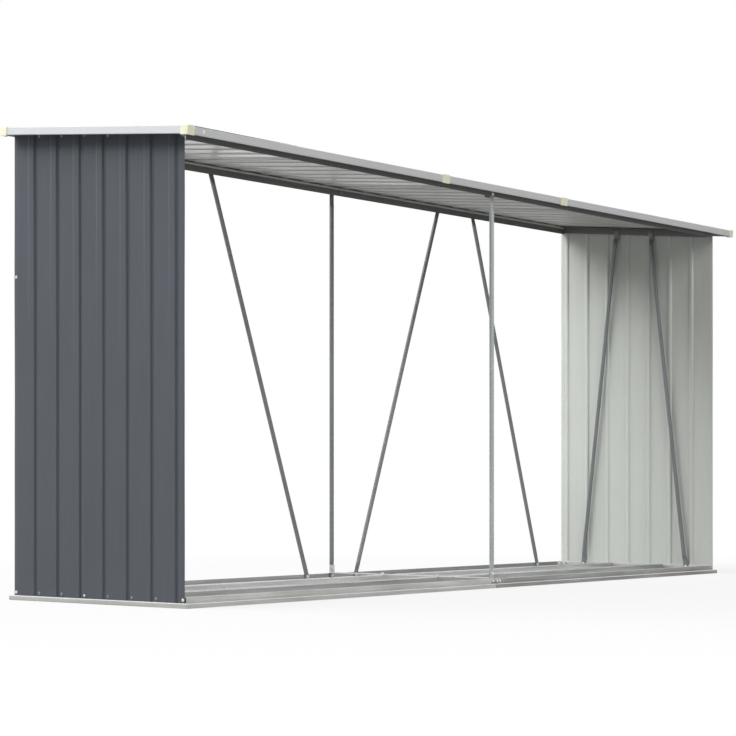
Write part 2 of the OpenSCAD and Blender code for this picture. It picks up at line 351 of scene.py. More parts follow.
def zinc(name, colour, stretch, roughness, metallic=1.0, grain=0.12):
    """Galvanised steel: zinc spangle in small cells, long rolling streaks and dull patches."""
    made, tree, shader = surface(name)
    spangle = object_noise(tree, EVEN, scale=110.0, kind="ShaderNodeTexVoronoi")
    streaks = object_noise(tree, stretch, scale=9.0, detail=5.0)
    patches = object_noise(tree, EVEN, scale=2.6, detail=3.0)
    cell = add_node(tree, "ShaderNodeSeparateColor")
    tree.links.new(spangle.outputs["Color"], cell.inputs["Color"])
    cell_tone = ranged(tree, cell.outputs["Red"], 0.96, 1.03)
    streak_tone = ranged(tree, streaks.outputs["Fac"], 1 - grain, 1 + grain)
    patch_tone = ranged(tree, patches.outputs["Fac"], 1 - grain, 1 + grain)
    tree.links.new(tinted(tree, colour, cell_tone, streak_tone, patch_tone), shader.inputs["Base Color"])
    gloss = ranged(tree, patches.outputs["Fac"], roughness + 0.08, roughness - 0.06)
    tree.links.new(gloss, shader.inputs["Roughness"])
    tree.links.new(bump(tree, streaks.outputs["Fac"], 0.05, 0.001), shader.inputs["Normal"])
    shader.inputs["Metallic"].default_value = metallic
    return made


def plastic(name, colour):
    """Moulded plastic that light soaks into, with a fine eroded texture and slightly uneven colour."""
    made, tree, shader = surface(name)
    clouds = object_noise(tree, EVEN, scale=40.0, detail=2.0)
    texture = object_noise(tree, EVEN, scale=1500.0, detail=1.0)
    tree.links.new(tinted(tree, colour, ranged(tree, clouds.outputs["Fac"], 0.95, 1.03)),
                   shader.inputs["Base Color"])
    tree.links.new(ranged(tree, texture.outputs["Fac"], 0.4, 0.55), shader.inputs["Roughness"])
    tree.links.new(bump(tree, texture.outputs["Fac"], 0.1, 0.0004), shader.inputs["Normal"])
    shader.inputs["Subsurface Weight"].default_value = 0.2
    shader.inputs["Subsurface Radius"].default_value = (1.0, 1.0, 0.8)
    shader.inputs["Subsurface Scale"].default_value = 0.012
    return made


ANTHRACITE = srgb(90, 94, 100)

# Paints have roughness, grain and specular, and zincs have roughness, metallic and grain
wall_outside = paint("wall_anthracite", ANTHRACITE, UPRIGHT, 0.36, 0.03, 0.12)
wall_inside = paint("wall_pale", srgb(210, 214, 208), UPRIGHT, 0.4, 0.02, 0.3)
roof_outside = paint("roof_anthracite", ANTHRACITE, ALONG_Y, 0.36, 0.03, 0.12)
# The four roof undersides are one pale paint, each sheet a little darker and duller than the one to its left:
# painted shade for light that falls off towards the right.
roof_inside = [paint("roof_pale_1", srgb(212, 212, 208), ALONG_Y, 0.18, 0.02, 0.5),
               paint("roof_pale_2", srgb(206, 206, 202), ALONG_Y, 0.3, 0.02, 0.3),
               paint("roof_pale_3", srgb(200, 200, 196), ALONG_Y, 0.42, 0.02, 0.15),
               paint("roof_pale_4", srgb(200, 200, 196), ALONG_Y, 0.42, 0.02, 0.15)]
beam_paint = paint("beam_dark", srgb(110, 111, 109), ALONG_X, 0.42, 0.06, 0.3)
trim_paint = paint("trim_pale_grey", srgb(218, 221, 223), ALONG_X, 0.35, 0.02, 0.3)
# The front trims take a darker copy of the trim paint: painted shade on the store's front.
front_trim_paint = paint("front_trim_grey", srgb(211, 213, 213), ALONG_X, 0.35, 0.02, 0.3)
# The base rails, floor bars and cross bar are one galvanised steel in lighter and darker copies, piece by
# piece: painted light on the left half of the front rail, the end rails, the rear floor bar and the cross
# bar; painted shade on the right half of the front rail, the back rails and the front floor bar.
front_left_zinc = zinc("front_left_zinc", srgb(186, 186, 183), ALONG_X, 0.3, 0.7, 0.16)
front_right_zinc = zinc("front_right_zinc", srgb(142, 142, 140), ALONG_X, 0.3, 0.7, 0.18)
grey_zinc = zinc("rail_zinc_grey", srgb(198, 199, 198), ALONG_X, 0.3, 0.7, 0.16)
back_zinc = zinc("back_rail_zinc", srgb(152, 154, 153), ALONG_X, 0.36, 0.7, 0.16)
dull_shaded_zinc = zinc("rail_zinc_dull_shaded", srgb(166, 168, 167), ALONG_X, 0.36, 0.7, 0.16)
end_zinc = zinc("end_rail_zinc", srgb(188, 188, 185), ALONG_Y, 0.3, 0.7, 0.12)
# Near-white zinc of the corner plates, also used for painted highlights on the floor bars' top folds.
plate_and_highlight_zinc = zinc("plate_and_painted_highlight_zinc", srgb(216, 216, 213), ALONG_X, 0.25, 0.7, 0.1)
tube_zinc = zinc("tube_zinc", srgb(128, 131, 132), UPRIGHT, 0.4, 0.35, 0.06)
# The front post takes a lighter copy of the tubes' zinc: painted light.
front_post_zinc = zinc("front_post_zinc", srgb(184, 188, 189), UPRIGHT, 0.36, 0.35, 0.06)
# The screws' zinc is a darker copy of the bolts' zinc: painted shade for screws that sit in shade.
screw_zinc = zinc("screw_zinc", srgb(140, 143, 145), EVEN, 0.35, 0.4, 0.1)
# Near-white zinc of the bolts, also used for painted highlights: the base rails' folds, the sides of the
# cross bar's flat and the lit wall screws.
bolt_and_highlight_zinc = zinc("bolt_and_highlight_zinc", srgb(232, 233, 231), EVEN, 0.3, 0.6, 0.04)
cap_plastic = plastic("cap_cream", srgb(254, 252, 220))


# Shapes

def rounded(points, radius, steps=ARC_STEPS):
    """The line with each inner corner turned on an arc, between two points that keep the flats flat."""
    line = [Vector(p) for p in points]
    out = [line[0]]
    for before, corner, after in zip(line, line[1:], line[2:]):
        back = before - corner
        ahead = after - corner
        turn = math.pi - back.angle(ahead)
        if turn < STRAIGHT_A:
            out.append(corner)
            continue
        reach = min(radius * math.tan(turn / 2), ARC_SHARE * back.length, ARC_SHARE * ahead.length)
        arc_r = reach / math.tan(turn / 2)
        middle = corner + (back.normalized() + ahead.normalized()).normalized() * arc_r / math.cos(turn / 2)
        first = corner + back.normalized() * reach - middle
        last = corner + ahead.normalized() * reach - middle
        hold_back = reach + min(HOLD, (0.5 * back.length - reach) / 2)
        hold_ahead = reach + min(HOLD, (0.5 * ahead.length - reach) / 2)
        out.append(corner + back.normalized() * hold_back)
        for k in range(steps + 1):
            share = k / steps
            out.append(middle + (first * math.sin((1 - share) * turn) + last * math.sin(share * turn))
                       / math.sin(turn))
        out.append(corner + ahead.normalized() * hold_ahead)
    out.append(line[-1])
    return out


def refined(line, step):
    """The line with its long stretches divided."""
    out = [line[0]]
    for a, b in zip(line, line[1:]):
        n = max(1, math.ceil((b - a).length / step))
        out += [a.lerp(b, k / n) for k in range(1, n + 1)]
    return out


def ring_of(line, thickness):
    """Outline of a strip along the line: its face, a round edge, its back and the other round edge."""
    half = thickness / 2
    face = []
    back = []
    for i, p in enumerate(line):
        ahead = (line[min(i + 1, len(line) - 1)] - p)
        behind = (p - line[max(i - 1, 0)])
        run = (ahead.normalized() + behind.normalized()).normalized()
        side = Vector((run.y, -run.x))
        lean = max(LEAN_MIN, run.dot((ahead if ahead.length else behind).normalized()))
        face.append(p + side * half / lean)
        back.append(p - side * half / lean)
    edges = []
    for p, run in ((line[-1], line[-1] - line[-2]), (line[0], line[0] - line[1])):
        run = run.normalized()
        side = Vector((run.y, -run.x))
        edges.append([p + (side * math.cos(a) + run * math.sin(a)) * half
                      for a in (math.pi / 4, math.pi / 2, 3 * math.pi / 4)])
    return face, edges[0], back[::-1], edges[1]


def strip(line, thickness, place, spans=1, picked=None):
    """Folded strip: the line's outline swept by place(point, share) for shares from 0 to 1.
    Its face, its back and the parts where picked(point) is true take the materials 0, 1 and 2."""
    face, far_edge, back, near_edge = ring_of(line, thickness)
    ring = face + far_edge + back + near_edge
    n = len(face)
    m = len(ring)
    first_back = n + len(far_edge)
    bm = bmesh.new()
    rows = [[bm.verts.new(place(p, k / spans)) for p in ring] for k in range(spans + 1)]
    for a, b in zip(rows, rows[1:]):
        for i in range(m):
            j = (i + 1) % m
            made = bm.faces.new((a[i], a[j], b[j], b[i]))
            made.material_index = 1 if first_back <= i < first_back + n - 1 else 0
            if picked and picked((ring[i] + ring[j]) / 2):
                made.material_index = 2
    for row in (rows[0], rows[-1]):
        across = row[first_back:first_back + n][::-1]
        for i in range(n - 1):
            made = bm.faces.new((row[i], row[i + 1], across[i + 1], across[i]))
            if picked and picked((line[i] + line[i + 1]) / 2):
                made.material_index = 2
        bm.faces.new([row[n - 1]] + row[n:first_back] + [row[first_back]])
        bm.faces.new([row[first_back + n - 1]] + row[first_back + n:] + [row[0]])
    return bm


def piece(name, bm, materials, nodes=()):
    """Puts a finished shape, in millimetres about the walls' middle, into the scene."""
    for vert in bm.verts:
        vert.co = Vector((vert.co.x, vert.co.y + Y_SHIFT, vert.co.z)) * MM
    bmesh.ops.recalc_face_normals(bm, faces=bm.faces)
    mesh = bpy.data.meshes.new(name)
    bm.to_mesh(mesh)
    bm.free()
    for material in materials:
        mesh.materials.append(material)
    mesh.polygons.foreach_set("use_smooth", [True] * len(mesh.polygons))
    mesh.set_sharp_from_angle(angle=SHARP_A)
    made = bpy.data.objects.new(name, mesh)
    bpy.context.scene.collection.objects.link(made)
    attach(made, BODY)
    if nodes:
        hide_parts(*nodes)
    return made


# Ribbed sheets

def sheet_line(s0, s1, ribs, fall, creases, lift_at=None):
    """Middle line of a ribbed sheet; depths count down from the face. It has points where creases will be,
    and its edge near lift_at lies on top."""
    half = SKIN_T / 2
    brow = RIB_W / 2
    floor_edge = RIB_FLOOR_W / 2
    marks = []
    for rib in ribs:
        marks += [(rib - brow, 0), (rib - floor_edge, fall), (rib + floor_edge, fall), (rib + brow, 0)]
    for crease in creases:
        for edge in (crease, crease + CREASE_W):
            marks += [(edge - HOLD, 0), (edge, 0), (edge + HOLD, 0)]
    marks = sorted(mark for mark in marks if s0 < mark[0] < s1)

    def depth_at(s):
        nearest = min((abs(s - rib) for rib in ribs), default=RIB_W)
        share = (brow - nearest) / (brow - floor_edge)
        return fall * min(1, max(0, share))

    points = [(s0, depth_at(s0))] + marks + [(s1, depth_at(s1))]
    if lift_at is not None:
        points = [(s, depth - SKIN_T if abs(s - lift_at) < LAP_W + brow else depth) for s, depth in points]
    return refined(rounded([(s, depth + half) for s, depth in points], FOLD_R), REFINE_STEP)


def pan_wave(s, along, ribs):
    """Slight hollows of a thin pan between its ribs; along is the share of the sheet's length."""
    nearest = min((abs(s - rib) for rib in ribs), default=0)
    swell = math.sin(math.pi * min(1, nearest / (WALL_RIB_PITCH / 2)) / 2) ** 2
    fade = min(1, PAN_END * along * (1 - along))
    wave = sum(height * math.sin(along * pace + s * drift) for height, pace, drift in PAN_WAVES)
    return PAN_BULGE * swell * fade * wave


wall_ribs = [WALL_RIB_START - WALL_Y + i * WALL_RIB_PITCH for i in range(WALL_RIB_N)]
wall_lap = wall_ribs[LAP_RIB]


def wall_panel(name, side, s0, s1, lift_at):
    """One sheet of an end wall; side is -1 on the left and 1 on the right. Only the left wall is creased."""
    creases = [rib + CREASE_SHARE * WALL_RIB_PITCH for rib in wall_ribs]
    creases.append(wall_ribs[0] - (1 - CREASE_SHARE) * WALL_RIB_PITCH)
    crease_h = CREASE_H if side < 0 else 0
    line = sheet_line(s0, s1, wall_ribs, RIB_FALL, creases, lift_at)

    def place(p, share):
        y = -side * p.x
        top = roof_z(y, SHEET_BOTTOM)
        z = LIP_H + share * (top - LIP_H)
        past = min((p.x - crease for crease in creases), key=abs)
        to_rib = CREASE_SHARE * WALL_RIB_PITCH + past
        step = 1 - past / CREASE_W if past > 0 else 2 * to_rib / RIB_W
        rise = crease_h * min(1, max(0, step)) * smooth((share - CREASE_FOOT) / (1 - CREASE_FOOT))
        x = WALL_X - p.y - pan_wave(p.x, share, wall_ribs) + rise
        return Vector((side * x, y, z))

    piece(name + "_skin", strip(line, SKIN_T, place, WALL_SPANS),
          [wall_outside, wall_inside], [name])


wall_panel("left_wall_front_sheet", -1, -WALL_Y, wall_lap + LAP_REACH, wall_lap + LAP_REACH)
wall_panel("left_wall_back_sheet", -1, wall_lap - LAP_REACH, WALL_Y, None)
wall_panel("right_wall_front_sheet", 1, wall_lap - LAP_REACH, WALL_Y, None)
wall_panel("right_wall_back_sheet", 1, -WALL_Y, wall_lap + LAP_REACH, wall_lap + LAP_REACH)


roof_half = STORE_L / 2 - SHEET_TOP
roof_sheet_w = 2 * roof_half / ROOF_SHEET_N
roof_pitch = roof_sheet_w / ROOF_RIB_N
roof_face = SHEET_TOP + RIB_FALL - ROOF_RIB_FALL


def roof_panel(i):
    """Roof sheet, counted from the left; its right edge lies over the next sheet."""
    x0 = i * roof_sheet_w - roof_half
    x1 = x0 + roof_sheet_w
    ribs = [x0 + (k + 0.5) * roof_pitch for k in range(ROOF_RIB_N)]
    lap = i < ROOF_SHEET_N - 1
    line = sheet_line(x0, x1 + (LAP_REACH if lap else 0), ribs, ROOF_RIB_FALL, [], x1 if lap else None)
    length = ROOF_LEN - 2 * SHEET_TOP

    def place(p, share):
        z = -roof_face - p.y - pan_wave(p.x, share, ribs)
        return on_roof(p.x, -SHEET_TOP - share * length, z)

    name = "roof_sheet_%d" % (i + 1)
    piece(name + "_skin", strip(line, SKIN_T, place, ROOF_SPANS),
          [roof_outside, roof_inside[i]], [name])


for i in range(ROOF_SHEET_N):
    roof_panel(i)


# Base

def rail_line():
    """Middle line of a base rail: foot, outer face, ledge and upstand; x counts inwards."""
    half = FRAME_T / 2
    return rounded([(RAIL_W, half), (half, half), (half, LIP_H - half),
                    (BASE_LIP + half, LIP_H - half), (BASE_LIP + half, RAIL_H - half)], BEND_R)


def rail_painted_highlight(p):
    """Painted highlight on a base rail: the top of its upstand and the brow of its ledge."""
    brow = abs(p.y - LIP_H) < HIGHLIGHT_EDGE and p.x < HIGHLIGHT_EDGE
    return brow or p.y > RAIL_H - HIGHLIGHT_EDGE


def long_rail(name, x_side, y_side, zinc_tone):
    """Half of the front or back rail, from the joint in the middle to a mitred corner."""
    def place(p, share):
        x = JOINT_GAP + share * (BASE_X - p.x - JOINT_GAP)
        return Vector((x_side * x, y_side * (BASE_Y - p.x), p.y))

    piece(name + "_steel", strip(rail_line(), FRAME_T, place, LONG_SPANS, rail_painted_highlight),
          [zinc_tone, zinc_tone, bolt_and_highlight_zinc], [name])


def end_rail(name, x_side):
    """Rail under an end wall, mitred at both corners."""
    def place(p, share):
        reach = BASE_Y - p.x
        return Vector((x_side * (BASE_X - p.x), reach * (2 * share - 1), p.y))

    piece(name + "_steel", strip(rail_line(), FRAME_T, place, END_SPANS, rail_painted_highlight),
          [end_zinc, end_zinc, bolt_and_highlight_zinc], [name])


# The front rail's left half takes a lighter copy of the zinc and its right half a darker one: painted light
# and painted shade.
for x_side, x_name in ((-1, "left"), (1, "right")):
    long_rail("front_base_rail_" + x_name, x_side, -1, front_left_zinc if x_side < 0 else front_right_zinc)
    long_rail("back_base_rail_" + x_name, x_side, 1, back_zinc)
    end_rail(x_name + "_base_rail", x_side)


def floor_bar(name, y, zinc_tone):
    """Channel along the floor, open below, with a painted highlight on its top folds."""
    half = FRAME_T / 2
    reach = FLOOR_BAR_W / 2 - half
    line = rounded([(-reach, half), (-reach, RAIL_H - half), (reach, RAIL_H - half), (reach, half)], BEND_R)

    def place(p, share):
        return Vector((INNER_X * (2 * share - 1), y + p.x, p.y))

    # Painted highlight on the top folds
    def bright(p):
        return p.y > RAIL_H - HIGHLIGHT_EDGE and abs(p.x) > reach - HIGHLIGHT_EDGE

    piece(name + "_steel", strip(line, FRAME_T, place, LONG_SPANS, bright),
          [zinc_tone, zinc_tone, plate_and_highlight_zinc], [name])


# The front floor bar takes a darker copy of the rear bar's zinc: painted shade.
floor_bar("front_floor_bar", -FLOOR_BAR_GAP / 2, dull_shaded_zinc)
floor_bar("rear_floor_bar", FLOOR_BAR_GAP / 2, grey_zinc)


def cross_bar():
    """Flat bar across the floor with a tab bent up at each post; the sides of its flat carry a painted
    highlight.
    """
    end = INNER_Y - FLAT_T - CROSS_SKIN / 2
    level = RAIL_H + CROSS_SKIN / 2
    top = RAIL_H + CROSS_TAB_H
    line = rounded([(-end, top), (-end, level), (end, level), (end, top)], CROSS_BEND_R)

    def place(p, share):
        return Vector((CROSS_W * (share - 0.5), p.x, p.y))

    # Painted highlight on the sides of the flat
    def bright(p):
        return abs(p.y - level) < CROSS_SKIN / 4

    piece("floor_cross_bar_steel", strip(line, CROSS_SKIN, place, 1, bright),
          [grey_zinc, grey_zinc, bolt_and_highlight_zinc], ["floor_cross_bar"])


cross_bar()


# Top frame

def beam_line(y_side):
    """Middle line of a top beam: its web and its flange, and at the back an inner leg whose upper part
    carries a painted highlight in the roof underside's pale paint."""
    half = FRAME_T / 2
    web = y_side * (WALL_Y - half)
    inner = y_side * (WALL_Y - BEAM_FLANGE + half)
    points = [(web, beam_bottom(web)), (web, roof_z(web, SHEET_BOTTOM) - half),
              (inner, roof_z(inner, SHEET_BOTTOM) - half)]
    if y_side > 0:
        points.append((inner, roof_z(inner, SHEET_BOTTOM) - PALE_FOLD))
        points.append((inner, roof_z(inner, SHEET_BOTTOM) - BACK_LEG_H))
    return rounded(points, BEND_R)


def top_beam(name, x_side, y_side):
    """Half of the front or back beam."""
    def place(p, share):
        return Vector((x_side * share * FRAME_X, p.x, p.y))

    # Painted highlight: the upper part of the back beam's inner leg, in the roof underside's pale paint.
    def pale(p):
        depth = (roof_z(p.x, SHEET_BOTTOM) - p.y) * math.cos(ROOF_A)
        on_leg = y_side > 0 and p.x < WALL_Y - BEAM_FLANGE + FRAME_T / 2
        return on_leg and depth < PALE_FOLD - PALE_MARGIN

    piece(name + "_steel", strip(beam_line(y_side), FRAME_T, place, BEAM_SPANS, pale),
          [beam_paint, beam_paint, roof_inside[0]], [name])


def top_rail(name, x_side):
    """Rail along the top of an end wall, on the slope."""
    half = FRAME_T / 2
    reach = WALL_Y - BEAM_FLANGE
    line = rounded([(-half, -BEAM_H), (-half, -half), (-BEAM_FLANGE, -half)], BEND_R)

    def place(p, share):
        y = reach * (2 * share - 1)
        return Vector((x_side * (FRAME_X + p.x), y, roof_z(y, SHEET_BOTTOM) + p.y))

    piece(name + "_steel", strip(line, FRAME_T, place, TOP_RAIL_SPANS),
          [beam_paint, beam_paint], [name])


for x_side, x_name in ((-1, "left"), (1, "right")):
    top_beam("front_top_beam_" + x_name, x_side, -1)
    top_beam("back_top_beam_" + x_name, x_side, 1)
    top_rail(x_name + "_top_rail", x_side)


# Tubes

def close_rings(bm, rows):
    """Closes rings of points, row by row, into one surface with two ends."""
    for a, b in zip(rows, rows[1:]):
        for i in range(len(a)):
            j = (i + 1) % len(a)
            bm.faces.new((a[i], a[j], b[j], b[i]))
    bm.faces.new(rows[0])
    bm.faces.new(rows[-1])


def flat_tube(name, foot, head, away, diameter, axis, flat_l, material=tube_zinc):
    """Tube from foot to head with pressed ends that lie on a plane; away points off that plane."""
    along = (head - foot).normalized()
    length = (head - foot).length
    away = Vector(away)
    across = along.cross(away).normalized()
    stops = TIP_STOPS + [flat_l * FLAT_STOP, flat_l]
    stops += [flat_l + TAPER_L * k / TAPER_STEPS for k in range(1, TAPER_STEPS + 1)]
    stops += [flat_l + TAPER_L + TAPER_AFTER]
    stops = stops + [length / 2] + [length - s for s in reversed(stops)]
    bm = bmesh.new()
    rows = []
    for stop in stops:
        from_end = min(stop, length - stop)
        share = smooth((from_end - flat_l) / TAPER_L)
        point = math.sqrt(max(TIP_ROUND, 1 - (1 - min(1, from_end / TIP_L)) ** 2))
        wide = FLAT_RATIO * diameter / 2 * (1 - share) + diameter / 2 * share
        wide *= TIP_W + (1 - TIP_W) * point
        thick = FLAT_T / 2 * (1 - share) + diameter / 2 * share
        middle = FLAT_T / 2 * (1 - share) + axis * share
        power = 2 / (FLAT_POWER * (1 - share) + ROUND_POWER * share)
        row = []
        for k in range(TUBE_SIDES):
            turn = 2 * math.pi * k / TUBE_SIDES
            c = math.cos(turn)
            s = math.sin(turn)
            u = wide * math.copysign(abs(c) ** power, c)
            v = thick * math.copysign(abs(s) ** power, s)
            row.append(bm.verts.new(foot + along * stop + across * u + away * (middle + v)))
        rows.append(row)
    close_rings(bm, rows)
    piece(name + "_tube", bm, [material], [name])


tube_foot = LIP_H + FOOT_GAP
back_head = beam_bottom(WALL_Y) + FLAT_LAP
# The front post is in the lighter copy of the tubes' zinc, as painted light.
for side, side_name in ((-1, "front"), (1, "back")):
    flat_tube(side_name + "_post", Vector((0, side * INNER_Y, tube_foot)),
              Vector((0, side * INNER_Y, beam_bottom(side * WALL_Y) + FLAT_LAP)), (0, -side, 0),
              POST_D, FLAT_T / 2, POST_FLAT_L, front_post_zinc if side < 0 else tube_zinc)


def brace_ends(bay, side):
    """Foot and head of a back brace; bay and side are -1 on the left and 1 on the right."""
    foot_x = bay * (BRACE_FOOT_POST if bay * side < 0 else INNER_X - BRACE_FOOT_WALL)
    head_x = bay * BAY_MIDDLE + side * BRACE_TOP
    return Vector((foot_x, INNER_Y, tube_foot)), Vector((head_x, INNER_Y, back_head))


for bay, bay_name in ((-1, "left"), (1, "right")):
    for side, side_name in ((-1, "left"), (1, "right")):
        foot, head = brace_ends(bay, side)
        flat_tube("%s_bay_%s_brace" % (bay_name, side_name), foot, head, (0, -1, 0),
                  BRACE_D, FLAT_T / 2, BRACE_FLAT_L)
    for side, side_name in ((-1, "front"), (1, "back")):
        top_y = side * WALL_BRACE_TOP
        flat_tube("%s_wall_%s_brace" % (bay_name, side_name),
                  Vector((bay * INNER_X, side * WALL_BRACE_FOOT, tube_foot)),
                  Vector((bay * INNER_X, top_y, beam_bottom(top_y) + FLAT_LAP)), (-bay, 0, 0),
                  BRACE_D, BRACE_D / 2, BRACE_FLAT_L)


# Trims and caps

def trim_line():
    """Middle line of a trim: hem, face and top flange; x counts inwards, y up from the trim's top."""
    half = TRIM_T / 2
    low = half - TRIM_H
    return rounded([(TRIM_HEM, low), (half, low), (half, -half), (TRIM_FLANGE, -half)], TRIM_BEND_R)


def long_trim(name, front, x0, x1):
    """Length of trim on the front or the back edge of the roof."""
    def place(p, share):
        y = CAP_T - ROOF_LEN + p.x if front else -CAP_T - p.x
        return on_roof(x0 + share * (x1 - x0), y, p.y - CAP_T)

    tone = front_trim_paint if front else trim_paint
    piece(name + "_strip", strip(trim_line(), TRIM_T, place, LONG_TRIM_SPANS),
          [tone, tone], [name])


def end_trim(name, x_side):
    """Trim down the slope, between the long trims."""
    y0 = CAP_T + TRIM_FLANGE - ROOF_LEN
    y1 = -CAP_T - TRIM_FLANGE

    def place(p, share):
        return on_roof(x_side * (TRIM_END - p.x), y0 + share * (y1 - y0), p.y - CAP_T)

    piece(name + "_strip", strip(trim_line(), TRIM_T, place, END_TRIM_SPANS),
          [trim_paint, trim_paint], [name])


for front, edge in ((True, "front"), (False, "back")):
    long_trim(edge + "_roof_trim_left", front, -TRIM_END, -TRIM_JOINT)
    long_trim(edge + "_roof_trim_middle", front, -TRIM_JOINT, TRIM_JOINT)
    long_trim(edge + "_roof_trim_right", front, TRIM_JOINT, TRIM_END)
end_trim("left_roof_trim", -1)
end_trim("right_roof_trim", 1)


def cap_shell(size, open_sides):
    """Thin moulded cap with rounded edges; its outer corner is at the origin. Open sides are left out."""
    bm = bmesh.new()
    bmesh.ops.create_cube(bm, size=1)
    for vert in bm.verts:
        vert.co = [(place - 0.5) * reach for place, reach in zip(vert.co, size)]
    bm.normal_update()
    gone = [f for f in bm.faces if any(f.normal.dot(Vector(d)) > 0.9 for d in open_sides)]
    bmesh.ops.delete(bm, geom=gone, context="FACES_KEEP_BOUNDARY")
    inner = [e for e in bm.edges if len(e.link_faces) == 2]
    bmesh.ops.bevel(bm, geom=inner, offset=CAP_EDGE_R, segments=4, profile=0.6, affect="EDGES")
    bmesh.ops.recalc_face_normals(bm, faces=bm.faces)
    up = max(bm.faces, key=lambda f: f.calc_center_median().z)
    if up.normal.z < 0:
        bmesh.ops.reverse_faces(bm, faces=bm.faces)
    bmesh.ops.solidify(bm, geom=bm.faces, thickness=CAP_T)
    return bm


def add_copy(target, source, place):
    """Copies a shape into another one, point by point through place."""
    made = {vert: target.verts.new(place(vert.co)) for vert in source.verts}
    for f in source.faces:
        target.faces.new([made[vert] for vert in f.verts])


def corner_caps():
    """Caps on the four corners of the roof."""
    shell = cap_shell((CORNER_CAP_L, CORNER_CAP_L, CAP_H), [(0, 0, -1), (-1, 0, 0), (0, -1, 0)])
    bm = bmesh.new()
    for x_side in (-1, 1):
        add_copy(bm, shell, lambda p: on_roof(x_side * (STORE_L / 2 + p.x), p.y, p.z))
        add_copy(bm, shell, lambda p: on_roof(x_side * (STORE_L / 2 + p.x), -ROOF_LEN - p.y, p.z))
    shell.free()
    piece("corner_caps_moulded", bm, [cap_plastic], ["corner_caps"])


def joint_caps():
    """Caps over the joints of the long trims."""
    depth = CAP_T + TRIM_FLANGE
    shell = cap_shell((JOINT_CAP_L, depth, CAP_H), [(0, 0, -1), (-1, 0, 0), (1, 0, 0), (0, -1, 0)])
    bm = bmesh.new()
    for x in (-TRIM_JOINT, TRIM_JOINT):
        right = x + JOINT_CAP_L / 2
        add_copy(bm, shell, lambda p: on_roof(right + p.x, p.y, p.z))
        add_copy(bm, shell, lambda p: on_roof(right + p.x, -ROOF_LEN - p.y, p.z))
    shell.free()
    piece("joint_caps_moulded", bm, [cap_plastic], ["joint_caps"])


corner_caps()
joint_caps()


# Fixings

def turned(bm, place, axis, outline, sides):
    """Adds an outline of radius and height, turned about an axis that starts at place."""
    axis = Vector(axis).normalized()
    across = axis.orthogonal().normalized()
    other = axis.cross(across)
    rows = []
    for radius, height in outline:
        turns = [2 * math.pi * k / sides for k in range(sides)]
        rows.append([bm.verts.new(Vector(place) + axis * height + across * radius * math.cos(turn)
                                  + other * radius * math.sin(turn)) for turn in turns])
    close_rings(bm, rows)


def bolt(bm, place, axis):
    """Hexagon head or nut on a washer."""
    turned(bm, place, axis, WASHER, WASHER_SIDES)
    turned(bm, place, axis, HEX_HEAD, HEX_SIDES)


def screw(bm, place, axis):
    """Flanged round head with a socket."""
    turned(bm, place, axis, SCREW_HEAD, SCREW_SIDES)


def wall_screws(name, side):
    """Screws beside the ribs of an end wall, along its foot and its top. At the foot those at the edges and
    the lap are bright, and so is one high on an edge: copies of one screw, the bright ones painted highlights
    and the rest painted shade."""
    dull = bmesh.new()
    bright = bmesh.new()
    out = (side, 0, 0)
    beside = [rib - SCREW_FROM_RIB for rib in wall_ribs]
    first = FIRST_EDGE_SCREW - WALL_Y
    last = WALL_Y - LAST_EDGE_SCREW
    bright_s = [first, last, wall_lap - SCREW_FROM_RIB]
    for s in bright_s:
        screw(bright, (side * WALL_X, -side * s, RAIL_MIDDLE), out)
    screw(bright, (side * WALL_X, -side * last, EDGE_SCREW_Z), out)
    for s in beside[1:]:
        if s not in bright_s:
            screw(dull, (side * WALL_X, -side * s, RAIL_MIDDLE), out)
    for s in beside[3:] + [first]:
        screw(dull, (side * WALL_X, -side * s, roof_z(-side * s, SHEET_BOTTOM) - BEAM_H / 2), out)
    # Dull screws are painted shade, bright ones painted highlights
    piece(name + "_dull", dull, [screw_zinc])
    piece(name + "_bright", bright, [bolt_and_highlight_zinc])


def roof_screws():
    """Screws beside the ribs of the roof sheets, over both top beams."""
    bm = bmesh.new()
    up = (0, -math.sin(ROOF_A), math.cos(ROOF_A))
    for k in range(ROOF_SHEET_N * ROOF_RIB_N):
        x = (k + 0.5) * roof_pitch - roof_half + SCREW_FROM_RIB
        for y in (BEAM_FLANGE / 2 - WALL_Y, WALL_Y - BEAM_FLANGE / 2):
            screw(bm, on_roof(x, (y - ROOF_BACK) / math.cos(ROOF_A), -roof_face), up)
    piece("roof_screws", bm, [screw_zinc])


def lap_middles(foot, head):
    """The two points on a tube's middle where its pressed ends are bolted."""
    along = (head - foot).normalized()
    step = along * FLAT_LAP / 2 / along.z
    return foot + step, head - step


